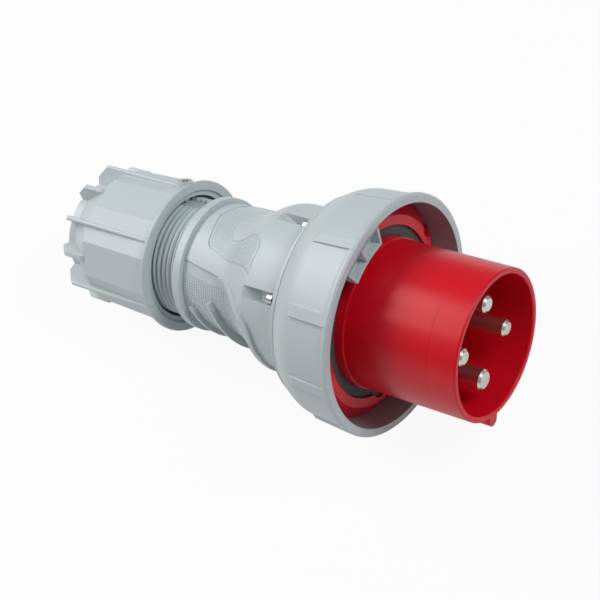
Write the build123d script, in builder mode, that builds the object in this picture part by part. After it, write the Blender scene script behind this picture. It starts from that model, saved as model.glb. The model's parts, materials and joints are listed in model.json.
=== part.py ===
from build123d import *
import os
from math import atan2, cos, degrees, radians, sin

# Industrial pin and sleeve plug: four poles, bayonet locking ring, screwed cable gland.
# Millimetres. The plug's axis is X, its pins point along +X, and x = 0 is the sleeve's rim.
# Angles are clock angles: 0 is 12 o'clock and 90 is 9 o'clock, towards -Y.

os.makedirs("parts", exist_ok=True)

# Clearances
slip = 0.05
loose = 0.3
seat_gap = 0.2

# Sleeve insert
sleeve_od = 71.0
sleeve_wall = 2.85
sleeve_length = 57.7
sleeve_depth = 55.0
rim_chamfer = 0.5
collar_step = 0.7
collar_length = 7.8
land_rise = 4.7
land_width = 4.6
edge_drop = 4.7
edge_width = 6.2
insert_flange_thickness = 3.5
register_depth = 3.5
key_width = 6.4
key_height = 4.6
notch_radius = 4.5
notch_depth = 8.0
notch_angle = 53.0

# Contact carrier, pushed into the sleeve from behind
carrier_depth = 7.0
carrier_stop_width = 1.6
carrier_edge = 6.45

# Pins and terminals
pin_circle = 37.1
phase_pin_d = 8.0
earth_pin_d = 10.0
pin_setback = 5.2
pin_tip_chamfer = 1.1
pin_shank_step = 0.5
pin_collar_d = 15.0
pin_collar_length = 5.0
terminal_d = 12.6
terminal_length = 24.0
wire_hole_d = 7.4
wire_hole_depth = 18.0
terminal_screw_d = 5.0
terminal_screw_length = 7.0
terminal_screw_inset = 6.0
terminal_screw_pitch = 8.0
slot_width = 1.0
slot_depth = 1.2

# Plate that keeps the pins in the insert, with its barrier between the terminals
retainer_thickness = 4.0
barrier_length = 18.0
barrier_wall = 2.0
barrier_span = 46.0
retainer_screw_reach = 8.95
retainer_screw_d = 3.5
retainer_head_d = 6.4
retainer_head_height = 2.2
retainer_screw_bite = 5.0

# Sealing rings
gasket_width = 4.8
gasket_thickness = 3.2
gasket_tab_radius = 5.5
seal_width = 2.6
ring_seal_depth = 1.5
ring_seal_width = 3.0

# Locking ring
ring_clearance = 0.1
ring_inner_draft = 1.2
ring_wall = 4.3
ring_reach = 8.9
ring_web = 5.5
ring_play = 0.3
ring_band = 2.4
ring_edge = 0.8
ring_shoulder_drop = 5.6
ring_lip = 2.4
ring_groove = 0.6
panel_depth = 1.0
panel_taper = 1.3
panel_length = 19.0
bar_count = 10
bar_width = 5.6
bar_taper = 1.4
bar_run_out = 3.0
lug_count = 2
lug_reach = 10.3
lug_depth = 6.0
lug_arc = 30.2
lug_start = 19.5
lug_wall = 1.3
lug_web = 2.0
lug_pocket_depth = 4.4

# Handle housing
cup_step = 1.7
cup_wall = 3.5
cup_length = 13.7
housing_wall = 3.7
cone_extra_wall = 1.2
inner_cone_front = 6.0
inner_cone_back = 2.0
drum_cover = 2.2
drum_length = 29.5
cone_length = 21.0
cone_front_ease = 7.4
cone_front_drop = 1.0
cone_back_ease = 9.4
cone_ease_rise = 0.2
neck_od = 65.0
neck_waist_od = 63.0
neck_length = 22.7
rear_flange_od = 67.5
rear_flange_thickness = 4.4
thread_od = 60.0
thread_root_depth = 1.7
thread_length = 32.5
grommet_bore = 50.0
grommet_stop_od = 42.0
grommet_stop_length = 6.0
clocking = 14.0

# Lower grip: depth, and the height of its border in the side view
grip_recess_od = 62.0
grip_shift = 3.6
grip_reach = 9.0
grip_top_back = 19.5
grip_top_front = 17.2
grip_bend_setback = 7.6
grip_bend_height = 12.3
grip_front_inset = 7.0
grip_front_height = -2.0
grip_front_lean = 0.1
grip_lip_width = 2.6
grip_lip_top = 1.8
grip_lip_rise = 1.2
grip_rib_width = 2.2
grip_rib_od = 69.0
grip_rib_sink = 1.0
front_rib_start = 5.5
front_rib_top = 3.5
front_rib_lean = 11.5
back_rib_start = 18.5
back_rib_top = -3.0
back_rib_lean = 8.5
nub_d = 6.2
nub_setback = 10.8

# Knurled pad over the neck: depth, and half its width from back to front
pad_depth = 0.4
pad_back_margin = 6.2
pad_corner_margin = 10.6
pad_corner_half = 18.2
pad_corner_round = 4.5
pad_flare_margin = 32.3
pad_flare_half = 24.4
pad_tip_reach = 1.6
pad_tip_half = 30.2
pad_front_half = 19.5
pad_scoop_setback = 8.0
pad_scoop_half = 12.4
pad_centre_setback = 3.0

# Screws between the insert and the housing, in long channels outside the neck
housing_screw_edge = 5.7
housing_screw_angles = (0, 60, 180, 300)
housing_screw_d = 4.0
housing_screw_head_d = 5.6
housing_screw_head_height = 2.7
housing_screw_bite = 4.0
screw_boss_d = 10.4
channel_width = 5.8
channel_ramp = 8.0
head_setback = 12.1

# Cable gland
grommet_length = 18.0
cable_d = 28.0
grommet_chamfer = 2.0
nut_travel = 12.0
nut_tight_gap = 2.2
nut_flange_od = 77.6
nut_flange_thickness = 1.6
nut_mouth_d = 68.4
nut_mouth_depth = 1.2
nut_throat_d = 62.8
nut_throat_depth = 8.0
nut_sides = 12
nut_front_flats = 71.6
nut_back_flats = 68.6
nut_barrel_length = 42.7
nut_cone_length = 14.5
nut_tail_length = 4.5
nut_tail_od = 51.0
cable_exit_d = 43.0
nut_inner_d = 52.0
rib_count = 6
rib_crest_od = 73.8
rib_width = 2.4
rib_chamfer_length = 6.8
rib_tail_od = 59.4
rib_sink = 1.0
rib_round = 1.0
fin_drop = 1.2
flange_chamfer = 0.5
lock_screw_d = 3.0
lock_tip_gap = 0.4
lock_head_d = 5.8
lock_head_height = 1.8
lock_boss_d = 7.6
lock_boss_od = 78.8
lock_setback = 4.5
thrust_nose_length = 9.5
thrust_flange_thickness = 3.0
thrust_bore = 32.0

# Stations along the axis
x_sleeve_foot = -sleeve_length
x_recess_floor = x_sleeve_foot - collar_length
x_land = x_recess_floor + land_rise
x_flange_edge = x_land - edge_drop
x_flange_back = x_flange_edge - insert_flange_thickness
x_register_back = x_flange_back - register_depth
x_carrier_back = x_flange_back - carrier_depth
x_retainer_back = x_carrier_back - retainer_thickness
x_terminal_back = x_carrier_back - terminal_length
x_cup_back = x_flange_back - cup_length
x_ring_front = x_land + ring_reach
x_web_front = x_cup_back - ring_play
x_ring_back = x_web_front - ring_web
x_drum_back = x_cup_back - drum_length
x_cone_back = x_drum_back - cone_length
x_neck_back = x_cone_back - neck_length
x_rear_flange = x_neck_back - rear_flange_thickness
x_thread_back = x_rear_flange - thread_length
x_screw_seat = x_ring_back + ring_web - head_setback
x_grommet_stop = x_rear_flange - grommet_stop_length
x_grommet_back = x_grommet_stop - grommet_length
x_thrust_front = x_grommet_back - loose - nut_travel
x_thrust_seat = x_thrust_front - thrust_nose_length
x_thrust_back = x_thrust_seat - thrust_flange_thickness
x_nut_front = x_rear_flange - nut_tight_gap - nut_travel
x_barrel_front = x_nut_front - nut_flange_thickness
x_barrel_back = x_barrel_front - nut_barrel_length
x_cone_end = x_barrel_back - nut_cone_length
x_nut_back = x_cone_end - nut_tail_length
x_lock = x_nut_front - lock_setback

# Radii that follow one another outwards from the sleeve and back to the drum
sleeve_r = sleeve_od / 2
collar_r = sleeve_r + collar_step
gasket_r = collar_r + seat_gap + gasket_width
land_r = gasket_r + seat_gap + land_width
flange_r = land_r + edge_width
cup_r = flange_r - cup_step
cup_bore_r = cup_r - cup_wall
register_r = cup_bore_r - seal_width - 2 * seat_gap
screw_circle_r = register_r - housing_screw_edge
drum_r = screw_circle_r + drum_cover
bore_r = flange_r + ring_clearance + ring_inner_draft
ring_r = bore_r + ring_wall
panel_back_r = ring_r - panel_depth - panel_taper
ring_back_r = panel_back_r - ring_shoulder_drop
lug_r = bore_r - lug_reach

sleeve_bore_r = sleeve_r - sleeve_wall
carrier_stop_r = sleeve_bore_r + carrier_stop_width
pin_circle_r = pin_circle / 2
carrier_r = pin_circle_r + pin_collar_d / 2 + carrier_edge
retainer_screw_r = pin_circle_r + retainer_screw_reach
thread_root_r = thread_od / 2 - thread_root_depth
nut_bore_r = thread_root_r + loose
pin_angles = {"phase_pin_l1": 90, "phase_pin_l2": 0, "phase_pin_l3": 270, "earth_pin": 180}


def meridian(angle):
    """The plane through the axis at a clock angle: local x along the plug, local y outwards."""
    return Plane(
        origin=(0, 0, 0),
        x_dir=(1, 0, 0),
        z_dir=(0, -cos(radians(angle)), -sin(radians(angle))),
    )


def around(radius, angle, x=0):
    """A point at this radius and clock angle."""
    return Vector(x, -radius * sin(radians(angle)), radius * cos(radians(angle)))


def cone_line(front_r, back_r, shift=0.0):
    """The curve of the handle's cone between these radii, with a faint crease at the drum."""
    Bezier(
        (x_drum_back + shift, front_r),
        (x_drum_back + shift - cone_front_ease, front_r - cone_front_drop),
        (x_cone_back + shift + cone_back_ease, back_r + cone_ease_rise),
        (x_cone_back + shift, back_r),
    )


def pin_diameter(name):
    return earth_pin_d if name == "earth_pin" else phase_pin_d


# Red moulding: sleeve with its key, and the flange with the gasket's seat
with BuildPart() as sleeve_insert:
    with BuildSketch(Plane.XZ):
        with BuildLine():
            Polyline(
                (0, sleeve_bore_r),
                (0, sleeve_r),
                (x_sleeve_foot, sleeve_r),
                (x_sleeve_foot, collar_r),
                (x_recess_floor, collar_r),
                (x_recess_floor, gasket_r + seat_gap),
                (x_land, gasket_r + seat_gap),
                (x_land, land_r),
                (x_flange_edge, flange_r),
                (x_flange_back, flange_r),
                (x_flange_back, register_r),
                (x_register_back, register_r),
                (x_register_back, sleeve_bore_r),
                close=True,
            )
        make_face()
    revolve(axis=Axis.X)
    chamfer(sleeve_insert.edges().filter_by(GeomType.CIRCLE).group_by(Axis.X)[-1], length=rim_chamfer)
    with BuildSketch(Plane.YZ.offset(x_land)):
        with Locations((0, -gasket_r + gasket_tab_radius / 2)):
            Circle(gasket_tab_radius + seat_gap)
        Circle(collar_r, mode=Mode.SUBTRACT)
    extrude(amount=-land_rise, mode=Mode.SUBTRACT)
    for side in (1, -1):
        notch = around(flange_r - notch_depth + notch_radius, side * notch_angle)
        with BuildSketch(Plane.YZ.offset(x_land)):
            with Locations(Location((notch.Y, notch.Z, 0), (0, 0, side * notch_angle))):
                Circle(notch_radius)
                Rectangle(2 * notch_radius, 2 * notch_depth, align=(Align.CENTER, Align.MIN))
        extrude(amount=x_flange_edge - x_land - insert_flange_thickness / 2, mode=Mode.SUBTRACT)
    with BuildSketch(Plane.YZ):
        with Locations((0, -sleeve_r - (key_height - key_width / 2 - sleeve_wall) / 2)):
            Rectangle(key_width, key_height - key_width / 2 + sleeve_wall)
        with Locations((0, -sleeve_r - key_height + key_width / 2)):
            Circle(key_width / 2)
        Circle(sleeve_r - sleeve_wall / 2, mode=Mode.SUBTRACT)
    extrude(amount=x_recess_floor)
    for screw_angle in housing_screw_angles:
        centre = around(screw_circle_r, clocking + screw_angle)
        with BuildSketch(Plane.YZ.offset(x_register_back)):
            with Locations((centre.Y, centre.Z)):
                Circle(housing_screw_d / 2 + slip)
        extrude(amount=housing_screw_bite + loose, mode=Mode.SUBTRACT)

# Red block in the sleeve's bottom that holds the pins
with BuildPart() as contact_carrier:
    with BuildSketch(Plane.XZ):
        with BuildLine():
            Polyline(
                (-sleeve_depth, 0),
                (-sleeve_depth, sleeve_bore_r - slip),
                (x_register_back - slip, sleeve_bore_r - slip),
                (x_register_back - slip, carrier_stop_r),
                (x_carrier_back, carrier_stop_r),
                (x_carrier_back, 0),
                close=True,
            )
        make_face()
    revolve(axis=Axis.X)
    for pin_name, pin_angle in pin_angles.items():
        centre = around(pin_circle_r, pin_angle)
        with BuildSketch(Plane.YZ.offset(x_carrier_back)):
            with Locations((centre.Y, centre.Z)):
                Circle(pin_collar_d / 2 + slip)
        extrude(amount=pin_collar_length, mode=Mode.SUBTRACT)
        with BuildSketch(Plane.YZ.offset(x_carrier_back)):
            with Locations((centre.Y, centre.Z)):
                Circle(pin_diameter(pin_name) / 2 + pin_shank_step + slip)
        extrude(amount=-x_carrier_back - sleeve_depth, mode=Mode.SUBTRACT)
    with BuildSketch(Plane.YZ.offset(x_carrier_back)):
        with PolarLocations(retainer_screw_r, 2, start_angle=45):
            Circle(retainer_screw_d / 2 + slip)
    extrude(amount=retainer_screw_bite + loose, mode=Mode.SUBTRACT)

# Locking ring: band, sloping panels between bars, round shoulder, lip and two bayonet lugs
with BuildPart() as locking_ring:
    with BuildSketch(Plane.XZ):
        with BuildLine():
            front = Polyline(
                (x_ring_front, bore_r),
                (x_ring_front, ring_r - ring_edge),
                (x_ring_front - ring_edge, ring_r),
                (x_ring_front - ring_band, ring_r),
                (x_ring_front - ring_band, ring_r - panel_depth),
                (x_ring_front - ring_band - panel_length, panel_back_r),
            )
            shoulder = TangentArc(
                front @ 1,
                (x_ring_back + ring_lip + ring_groove, ring_back_r + ring_groove),
                tangent=(-panel_length, panel_back_r - ring_r + panel_depth),
            )
            Polyline(
                shoulder @ 1,
                (x_ring_back + ring_lip + ring_groove, ring_back_r - ring_groove),
                (x_ring_back + ring_lip, ring_back_r - ring_groove),
                (x_ring_back + ring_lip, ring_back_r),
                (x_ring_back + ring_edge, ring_back_r),
                (x_ring_back, ring_back_r - ring_edge),
                (x_ring_back, drum_r + loose),
                (x_web_front, drum_r + loose),
                (x_web_front, bore_r - ring_inner_draft),
                (x_flange_edge, bore_r - ring_inner_draft),
                (x_ring_front, bore_r),
            )
        make_face()
    revolve(axis=Axis.X)
    for bar in range(bar_count):
        with BuildSketch(meridian(bar * 360 / bar_count)):
            with BuildLine():
                Polyline(
                    (x_ring_front - ring_edge, bore_r + panel_depth),
                    (x_ring_front - ring_edge, ring_r),
                    (x_ring_front - ring_band, ring_r),
                    (x_ring_front - ring_band - panel_length, ring_r - bar_taper),
                    (x_ring_front - ring_band - panel_length - bar_run_out, panel_back_r - panel_depth),
                    close=True,
                )
            make_face()
        extrude(amount=bar_width / 2, both=True)
    for lug in range(lug_count):
        lug_angle = lug_start + lug * 360 / lug_count
        with BuildSketch(meridian(lug_angle)):
            with BuildLine():
                Polyline(
                    (x_ring_front, lug_r),
                    (x_ring_front, bore_r + panel_depth),
                    (x_ring_front - lug_depth, bore_r + panel_depth),
                    (x_ring_front - lug_depth, lug_r),
                    close=True,
                )
            make_face()
        revolve(axis=Axis.X, revolution_arc=lug_arc)
        wall_angle = degrees(lug_wall / (lug_r))
        web_angle = degrees(lug_web / (lug_r))
        pocket_arc = (lug_arc - 2 * wall_angle - web_angle) / 2
        for pocket_start in (wall_angle, wall_angle + pocket_arc + web_angle):
            with BuildSketch(meridian(lug_angle + pocket_start)):
                with BuildLine():
                    Polyline(
                        (x_ring_front, lug_r + lug_wall),
                        (x_ring_front, bore_r - lug_wall),
                        (x_ring_front - lug_pocket_depth, bore_r - lug_wall),
                        (x_ring_front - lug_pocket_depth, lug_r + lug_wall),
                        close=True,
                    )
                make_face()
            revolve(axis=Axis.X, revolution_arc=pocket_arc, mode=Mode.SUBTRACT)

# Rubber gasket that the mating connector is pressed against, with a tab round the key
with BuildPart() as face_gasket:
    with BuildSketch(Plane.YZ.offset(x_recess_floor)):
        Circle(gasket_r)
        with Locations((0, -gasket_r + gasket_tab_radius / 2)):
            Circle(gasket_tab_radius)
        Circle(collar_r + seat_gap, mode=Mode.SUBTRACT)
        with Locations((0, -sleeve_r - key_height / 2 - seat_gap)):
            Rectangle(key_width + 2 * seat_gap, key_height + 2 * seat_gap, mode=Mode.SUBTRACT)
    extrude(amount=gasket_thickness)

# Side view of the lower grip, and the shape of its floor
below = -2 * drum_r


def grip_border(forward=0.0, up=0.0):
    """The front border of the lower grip in the side view, moved by these amounts."""
    bend = Spline(
        (x_cone_back + forward, grip_top_front + up),
        (x_drum_back - grip_bend_setback + forward, grip_bend_height + up),
        (x_drum_back + grip_reach - grip_front_inset + forward, grip_front_height + up),
        tangents=((1, -0.05), (grip_front_lean, -1)),
    )
    return Line(bend @ 1, bend @ 1 + Vector(-grip_front_lean * below, below))


with BuildPart() as grip_cutter:
    with BuildSketch(meridian(clocking)):
        with BuildLine():
            border_top = Line((x_neck_back, grip_top_back), (x_cone_back, grip_top_front))
            border_end = grip_border() @ 1
            Polyline(border_end, (x_neck_back, border_end.Y), border_top @ 0)
        make_face()
    extrude(amount=2 * drum_r, both=True)
    with BuildSketch(Plane.XZ):
        with BuildLine():
            Polyline(
                (x_drum_back + grip_reach, 0),
                (x_drum_back + grip_reach, drum_r),
                (x_drum_back + grip_shift, drum_r),
            )
            cone_line(drum_r, grip_recess_od / 2, grip_shift)
            Polyline(
                (x_cone_back + grip_shift, grip_recess_od / 2),
                (x_neck_back, grip_recess_od / 2),
                (x_neck_back, 0),
                (x_drum_back + grip_reach, 0),
            )
        make_face()
    revolve(axis=Axis.X, mode=Mode.SUBTRACT)

# Raised lip along the front border of the lower grip
lip_front_r = drum_r + grip_lip_rise
lip_back_r = neck_od / 2 + grip_lip_rise
lip_front_root = drum_r - housing_wall / 2
lip_back_root = grip_recess_od / 2 - housing_wall / 2
with BuildPart() as grip_lip:
    with BuildSketch(meridian(clocking)):
        with BuildLine():
            Line(grip_border() @ 1, grip_border(grip_lip_width, grip_lip_top) @ 1)
            Line(border_top @ 1, border_top @ 1 + Vector(grip_lip_width, grip_lip_top))
        make_face()
    extrude(amount=2 * drum_r, both=True)
    with BuildSketch(Plane.XZ):
        with BuildLine():
            cone_line(lip_front_r, lip_back_r)
            Polyline(
                (x_cone_back, lip_back_r),
                (x_neck_back, lip_back_r),
                (x_neck_back, lip_back_root),
                (x_cone_back, lip_back_root),
            )
            cone_line(lip_front_root, lip_back_root)
            Polyline(
                (x_drum_back, lip_front_root),
                (x_drum_back + grip_reach, lip_front_root),
                (x_drum_back + grip_reach, lip_front_r),
                (x_drum_back, lip_front_r),
            )
        make_face()
    revolve(axis=Axis.X, mode=Mode.INTERSECT)

# Two finger ribs that wrap under the neck
with BuildPart() as grip_ribs:
    for rib_start, rib_top, rib_lean in (
        (front_rib_start, front_rib_top, front_rib_lean),
        (back_rib_start, back_rib_top, back_rib_lean),
    ):
        with BuildSketch(meridian(clocking)):
            with BuildLine():
                Spline(
                    (x_cone_back - rib_start, rib_top),
                    (x_cone_back - rib_start + rib_lean, -grip_rib_od / 2),
                    tangents=((0.45, -1), (0.25, -1)),
                )
            trace(line_width=grip_rib_width)
        extrude(amount=2 * drum_r, both=True)
    with BuildSketch(Plane.XZ):
        with BuildLine():
            Polyline(
                (x_neck_back, grip_recess_od / 2 - grip_rib_sink),
                (x_neck_back, grip_rib_od / 2 - 2 * grip_rib_sink),
                (x_cone_back, grip_rib_od / 2),
                (x_drum_back - cone_length / 2, grip_rib_od / 2 + 2 * grip_rib_sink),
                (x_drum_back - cone_length / 2, grip_recess_od / 2 - grip_rib_sink),
                close=True,
            )
        make_face()
    revolve(axis=Axis.X, mode=Mode.INTERSECT)

# Shallow knurled pad over the top of the neck
with BuildPart() as pad_cutter:
    with BuildSketch(Plane((0, 0, 0), x_dir=(1, 0, 0), z_dir=tuple(around(1, clocking)))):
        with BuildLine():
            pad_edge = FilletPolyline(
                (x_neck_back + pad_back_margin, 0),
                (x_neck_back + pad_corner_margin, -pad_corner_half),
                (x_neck_back + pad_flare_margin, -pad_flare_half),
                (x_drum_back + pad_tip_reach, -pad_tip_half),
                radius=pad_corner_round,
            )
            pad_front = Spline(
                pad_edge @ 1,
                (x_drum_back + pad_tip_reach, -pad_front_half),
                (x_drum_back - pad_scoop_setback, -pad_scoop_half),
                (x_cone_back - pad_centre_setback, 0),
                tangents=((-0.2, 1), (0, 1)),
            )
            Line(pad_front @ 1, pad_edge @ 0)
        make_face()
        mirror(about=Plane.XZ)
    extrude(amount=2 * drum_r)
    with BuildSketch(Plane.XZ):
        with BuildLine():
            Polyline(
                (x_drum_back + grip_reach, 0),
                (x_drum_back + grip_reach, drum_r - pad_depth),
                (x_drum_back, drum_r - pad_depth),
            )
            cone_line(drum_r - pad_depth, neck_od / 2 - pad_depth)
            Polyline(
                (x_cone_back, neck_od / 2 - pad_depth),
                (x_neck_back, neck_waist_od / 2 - pad_depth),
                (x_neck_back, 0),
                (x_drum_back + grip_reach, 0),
            )
        make_face()
    revolve(axis=Axis.X, mode=Mode.SUBTRACT)

# Handle from the cup inside the locking ring to the threaded end, with its grips cut in
with BuildPart() as handle_housing:
    with BuildSketch(Plane.XZ):
        with BuildLine():
            Polyline(
                (x_flange_back, cup_bore_r),
                (x_flange_back, cup_r),
                (x_cup_back, cup_r),
                (x_cup_back, drum_r),
                (x_drum_back, drum_r),
            )
            cone_line(drum_r, neck_od / 2)
            Polyline(
                (x_cone_back, neck_od / 2),
                (x_neck_back, neck_waist_od / 2),
                (x_neck_back, rear_flange_od / 2),
                (x_rear_flange, rear_flange_od / 2),
                (x_rear_flange, thread_root_r),
                (x_thread_back, thread_root_r),
                (x_thread_back, grommet_bore / 2),
                (x_grommet_stop, grommet_bore / 2),
                (x_grommet_stop, grommet_stop_od / 2),
                (x_rear_flange, grommet_stop_od / 2),
                (x_neck_back, neck_waist_od / 2 - housing_wall),
                (x_cone_back + inner_cone_back, neck_od / 2 - housing_wall - cone_extra_wall),
                (x_drum_back + inner_cone_front, drum_r - housing_wall),
                (x_cup_back + housing_wall, drum_r - housing_wall),
                (x_cup_back + housing_wall, register_r + loose),
                (x_register_back, register_r + loose),
                (x_register_back, cup_bore_r),
                (x_flange_back, cup_bore_r),
            )
        make_face()
    revolve(axis=Axis.X)
    with BuildSketch(Plane.XZ):
        with Locations((x_flange_back - cup_length / 2, cup_r)):
            Rectangle(ring_seal_width, 2 * ring_seal_depth)
    revolve(axis=Axis.X, mode=Mode.SUBTRACT)
    for screw_angle in housing_screw_angles:
        boss_centre = around(screw_circle_r, clocking + screw_angle)
        with BuildSketch(Plane.YZ.offset(x_register_back)):
            with Locations((boss_centre.Y, boss_centre.Z)):
                Circle(screw_boss_d / 2)
            Circle(drum_r - housing_wall / 2, mode=Mode.INTERSECT)
        extrude(amount=x_drum_back - housing_wall - x_register_back)
        with BuildSketch(Plane.YZ.offset(x_register_back)):
            with Locations((boss_centre.Y, boss_centre.Z)):
                Circle(housing_screw_d / 2 + slip)
        extrude(amount=x_screw_seat - x_register_back, mode=Mode.SUBTRACT)
        with BuildSketch(meridian(clocking + screw_angle)):
            with BuildLine():
                Polyline(
                    (x_screw_seat, screw_circle_r - channel_width / 2),
                    (x_drum_back + channel_ramp, screw_circle_r - channel_width / 2),
                    (x_drum_back, drum_r),
                    (x_drum_back, drum_r + drum_cover),
                    (x_screw_seat, drum_r + drum_cover),
                    close=True,
                )
            make_face()
        extrude(amount=channel_width / 2, both=True, mode=Mode.SUBTRACT)
    with BuildSketch(Plane.YZ.offset(x_register_back)):
        Circle(carrier_stop_r + seat_gap)
    extrude(amount=x_carrier_back - slip - x_register_back, mode=Mode.SUBTRACT)
    add(grip_cutter.part, mode=Mode.SUBTRACT)
    add(pad_cutter.part, mode=Mode.SUBTRACT)
    add(grip_lip.part)
    add(grip_ribs.part)
    nub_base = around(thread_root_r, clocking + 180, x_cone_back - nub_setback)
    with BuildSketch(Plane(nub_base, x_dir=(1, 0, 0), z_dir=tuple(around(1, clocking + 180)))):
        Circle(nub_d / 2)
    extrude(amount=grip_rib_od / 2 - thread_root_r + grip_rib_width / 4)

# Ring seal between the insert's flange and the housing
with BuildPart() as housing_seal:
    with BuildSketch(Plane.YZ.offset(x_register_back)):
        Circle(cup_bore_r - seat_gap)
        Circle(register_r + seat_gap, mode=Mode.SUBTRACT)
    extrude(amount=register_depth)

# Ring seal in the cup's groove: it keeps dust out and gives the locking ring its drag
with BuildPart() as ring_seal:
    with BuildSketch(Plane.XZ):
        with Locations((x_flange_back - cup_length / 2, cup_r)):
            Rectangle(ring_seal_width - 2 * seat_gap, 2 * (ring_seal_depth - seat_gap))
    revolve(axis=Axis.X)


def contact_pin(name, angle):
    """A turned pin: chamfered tip, collar held by the retainer, and a screwed wire terminal."""
    centre = around(pin_circle_r, angle)
    radius = pin_diameter(name) / 2
    x_collar_front = x_carrier_back + pin_collar_length
    outward = Plane(centre, x_dir=(1, 0, 0), z_dir=tuple(around(1, angle)))
    with BuildPart() as pin:
        with BuildSketch(Plane(centre, x_dir=(1, 0, 0), z_dir=meridian(angle).z_dir)):
            with BuildLine():
                Polyline(
                    (-pin_setback, 0),
                    (-pin_setback, radius - pin_tip_chamfer),
                    (-pin_setback - pin_tip_chamfer, radius),
                    (-sleeve_depth, radius),
                    (-sleeve_depth, radius + pin_shank_step),
                    (x_collar_front, radius + pin_shank_step),
                    (x_collar_front, pin_collar_d / 2),
                    (x_carrier_back, pin_collar_d / 2),
                    (x_carrier_back, terminal_d / 2),
                    (x_terminal_back, terminal_d / 2),
                    (x_terminal_back, 0),
                    close=True,
                )
            make_face()
        revolve(axis=Axis(centre, (1, 0, 0)))
        with BuildSketch(Plane.YZ.offset(x_terminal_back)):
            with Locations((centre.Y, centre.Z)):
                Circle(wire_hole_d / 2)
        extrude(amount=wire_hole_depth, mode=Mode.SUBTRACT)
        with BuildSketch(outward):
            with GridLocations(terminal_screw_pitch, 0, 2, 1):
                with Locations((x_terminal_back + terminal_screw_inset + terminal_screw_pitch / 2, 0)):
                    Circle(terminal_screw_d / 2)
        extrude(amount=terminal_d, mode=Mode.SUBTRACT)
    return pin


def clamping_screws(angle):
    """The two slotted grub screws of one terminal."""
    centre = around(pin_circle_r + wire_hole_d / 2 - terminal_screw_d / 8, angle)
    outward = Plane(centre, x_dir=(1, 0, 0), z_dir=tuple(around(1, angle)))
    with BuildPart() as screws:
        with BuildSketch(outward):
            with GridLocations(terminal_screw_pitch, 0, 2, 1):
                with Locations((x_terminal_back + terminal_screw_inset + terminal_screw_pitch / 2, 0)):
                    Circle(terminal_screw_d / 2 - slip)
        extrude(amount=terminal_screw_length)
        with BuildSketch(outward.offset(terminal_screw_length)):
            with GridLocations(terminal_screw_pitch, 0, 2, 1):
                with Locations((x_terminal_back + terminal_screw_inset + terminal_screw_pitch / 2, 0)):
                    Rectangle(terminal_screw_d, slot_width)
        extrude(amount=-slot_depth, mode=Mode.SUBTRACT)
    return screws


pins = {name: contact_pin(name, angle) for name, angle in pin_angles.items()}
terminal_screws = {
    name.replace("pin", "terminal_screws"): clamping_screws(angle)
    for name, angle in pin_angles.items()
}

# Plate screwed behind the insert: it holds the pins' collars and parts the terminals
with BuildPart() as pin_retainer:
    with BuildSketch(Plane.YZ.offset(x_retainer_back)):
        Circle(carrier_r)
        with PolarLocations(pin_circle_r, len(pin_angles), start_angle=90):
            Circle(terminal_d / 2 + slip, mode=Mode.SUBTRACT)
        with PolarLocations(retainer_screw_r, 2, start_angle=45):
            Circle(retainer_screw_d / 2 + slip, mode=Mode.SUBTRACT)
    extrude(amount=retainer_thickness)
    with BuildSketch(Plane.YZ.offset(x_retainer_back)):
        with Locations((0, 0, 0)):
            Rectangle(barrier_span, barrier_wall, rotation=45)
            Rectangle(barrier_span, barrier_wall, rotation=135)
    extrude(amount=-barrier_length)

with BuildPart() as retainer_screws:
    with BuildSketch(Plane.YZ.offset(x_retainer_back)):
        with PolarLocations(retainer_screw_r, 2, start_angle=45):
            Circle(retainer_screw_d / 2)
    extrude(amount=retainer_thickness + retainer_screw_bite)
    with BuildSketch(Plane.YZ.offset(x_retainer_back)):
        with PolarLocations(retainer_screw_r, 2, start_angle=45):
            Circle(retainer_head_d / 2)
    extrude(amount=-retainer_head_height)

# Four screws that draw the insert's flange onto the housing
with BuildPart() as housing_screws:
    for screw_angle in housing_screw_angles:
        centre = around(screw_circle_r, clocking + screw_angle)
        with BuildSketch(Plane.YZ.offset(x_screw_seat)):
            with Locations((centre.Y, centre.Z)):
                Circle(housing_screw_d / 2)
        extrude(amount=x_register_back + housing_screw_bite - x_screw_seat)
        with BuildSketch(Plane.YZ.offset(x_screw_seat)):
            with Locations((centre.Y, centre.Z)):
                Circle(housing_screw_head_d / 2)
        extrude(amount=-housing_screw_head_height)

# Rubber sleeve that grips the cable
with BuildPart() as cable_grommet:
    with BuildSketch(Plane.XZ):
        with BuildLine():
            Polyline(
                (x_grommet_stop, cable_d / 2),
                (x_grommet_stop, grommet_bore / 2 - seat_gap - grommet_chamfer),
                (x_grommet_stop - grommet_chamfer, grommet_bore / 2 - seat_gap),
                (x_grommet_back + grommet_chamfer, grommet_bore / 2 - seat_gap),
                (x_grommet_back, grommet_bore / 2 - seat_gap - grommet_chamfer),
                (x_grommet_back, cable_d / 2),
                close=True,
            )
        make_face()
    revolve(axis=Axis.X)

# Slip ring between the nut and the grommet: it slides in without turning
with BuildPart() as thrust_ring:
    with BuildSketch(Plane.XZ):
        with BuildLine():
            Polyline(
                (x_thrust_front, thrust_bore / 2),
                (x_thrust_front, grommet_bore / 2 - loose - grommet_chamfer),
                (x_thrust_front - grommet_chamfer, grommet_bore / 2 - loose),
                (x_thrust_seat, grommet_bore / 2 - loose),
                (x_thrust_seat, nut_bore_r - loose),
                (x_thrust_back + 2 * slip, nut_bore_r - loose),
                (x_thrust_back + 2 * slip, thrust_bore / 2),
                close=True,
            )
        make_face()
    revolve(axis=Axis.X)

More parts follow.
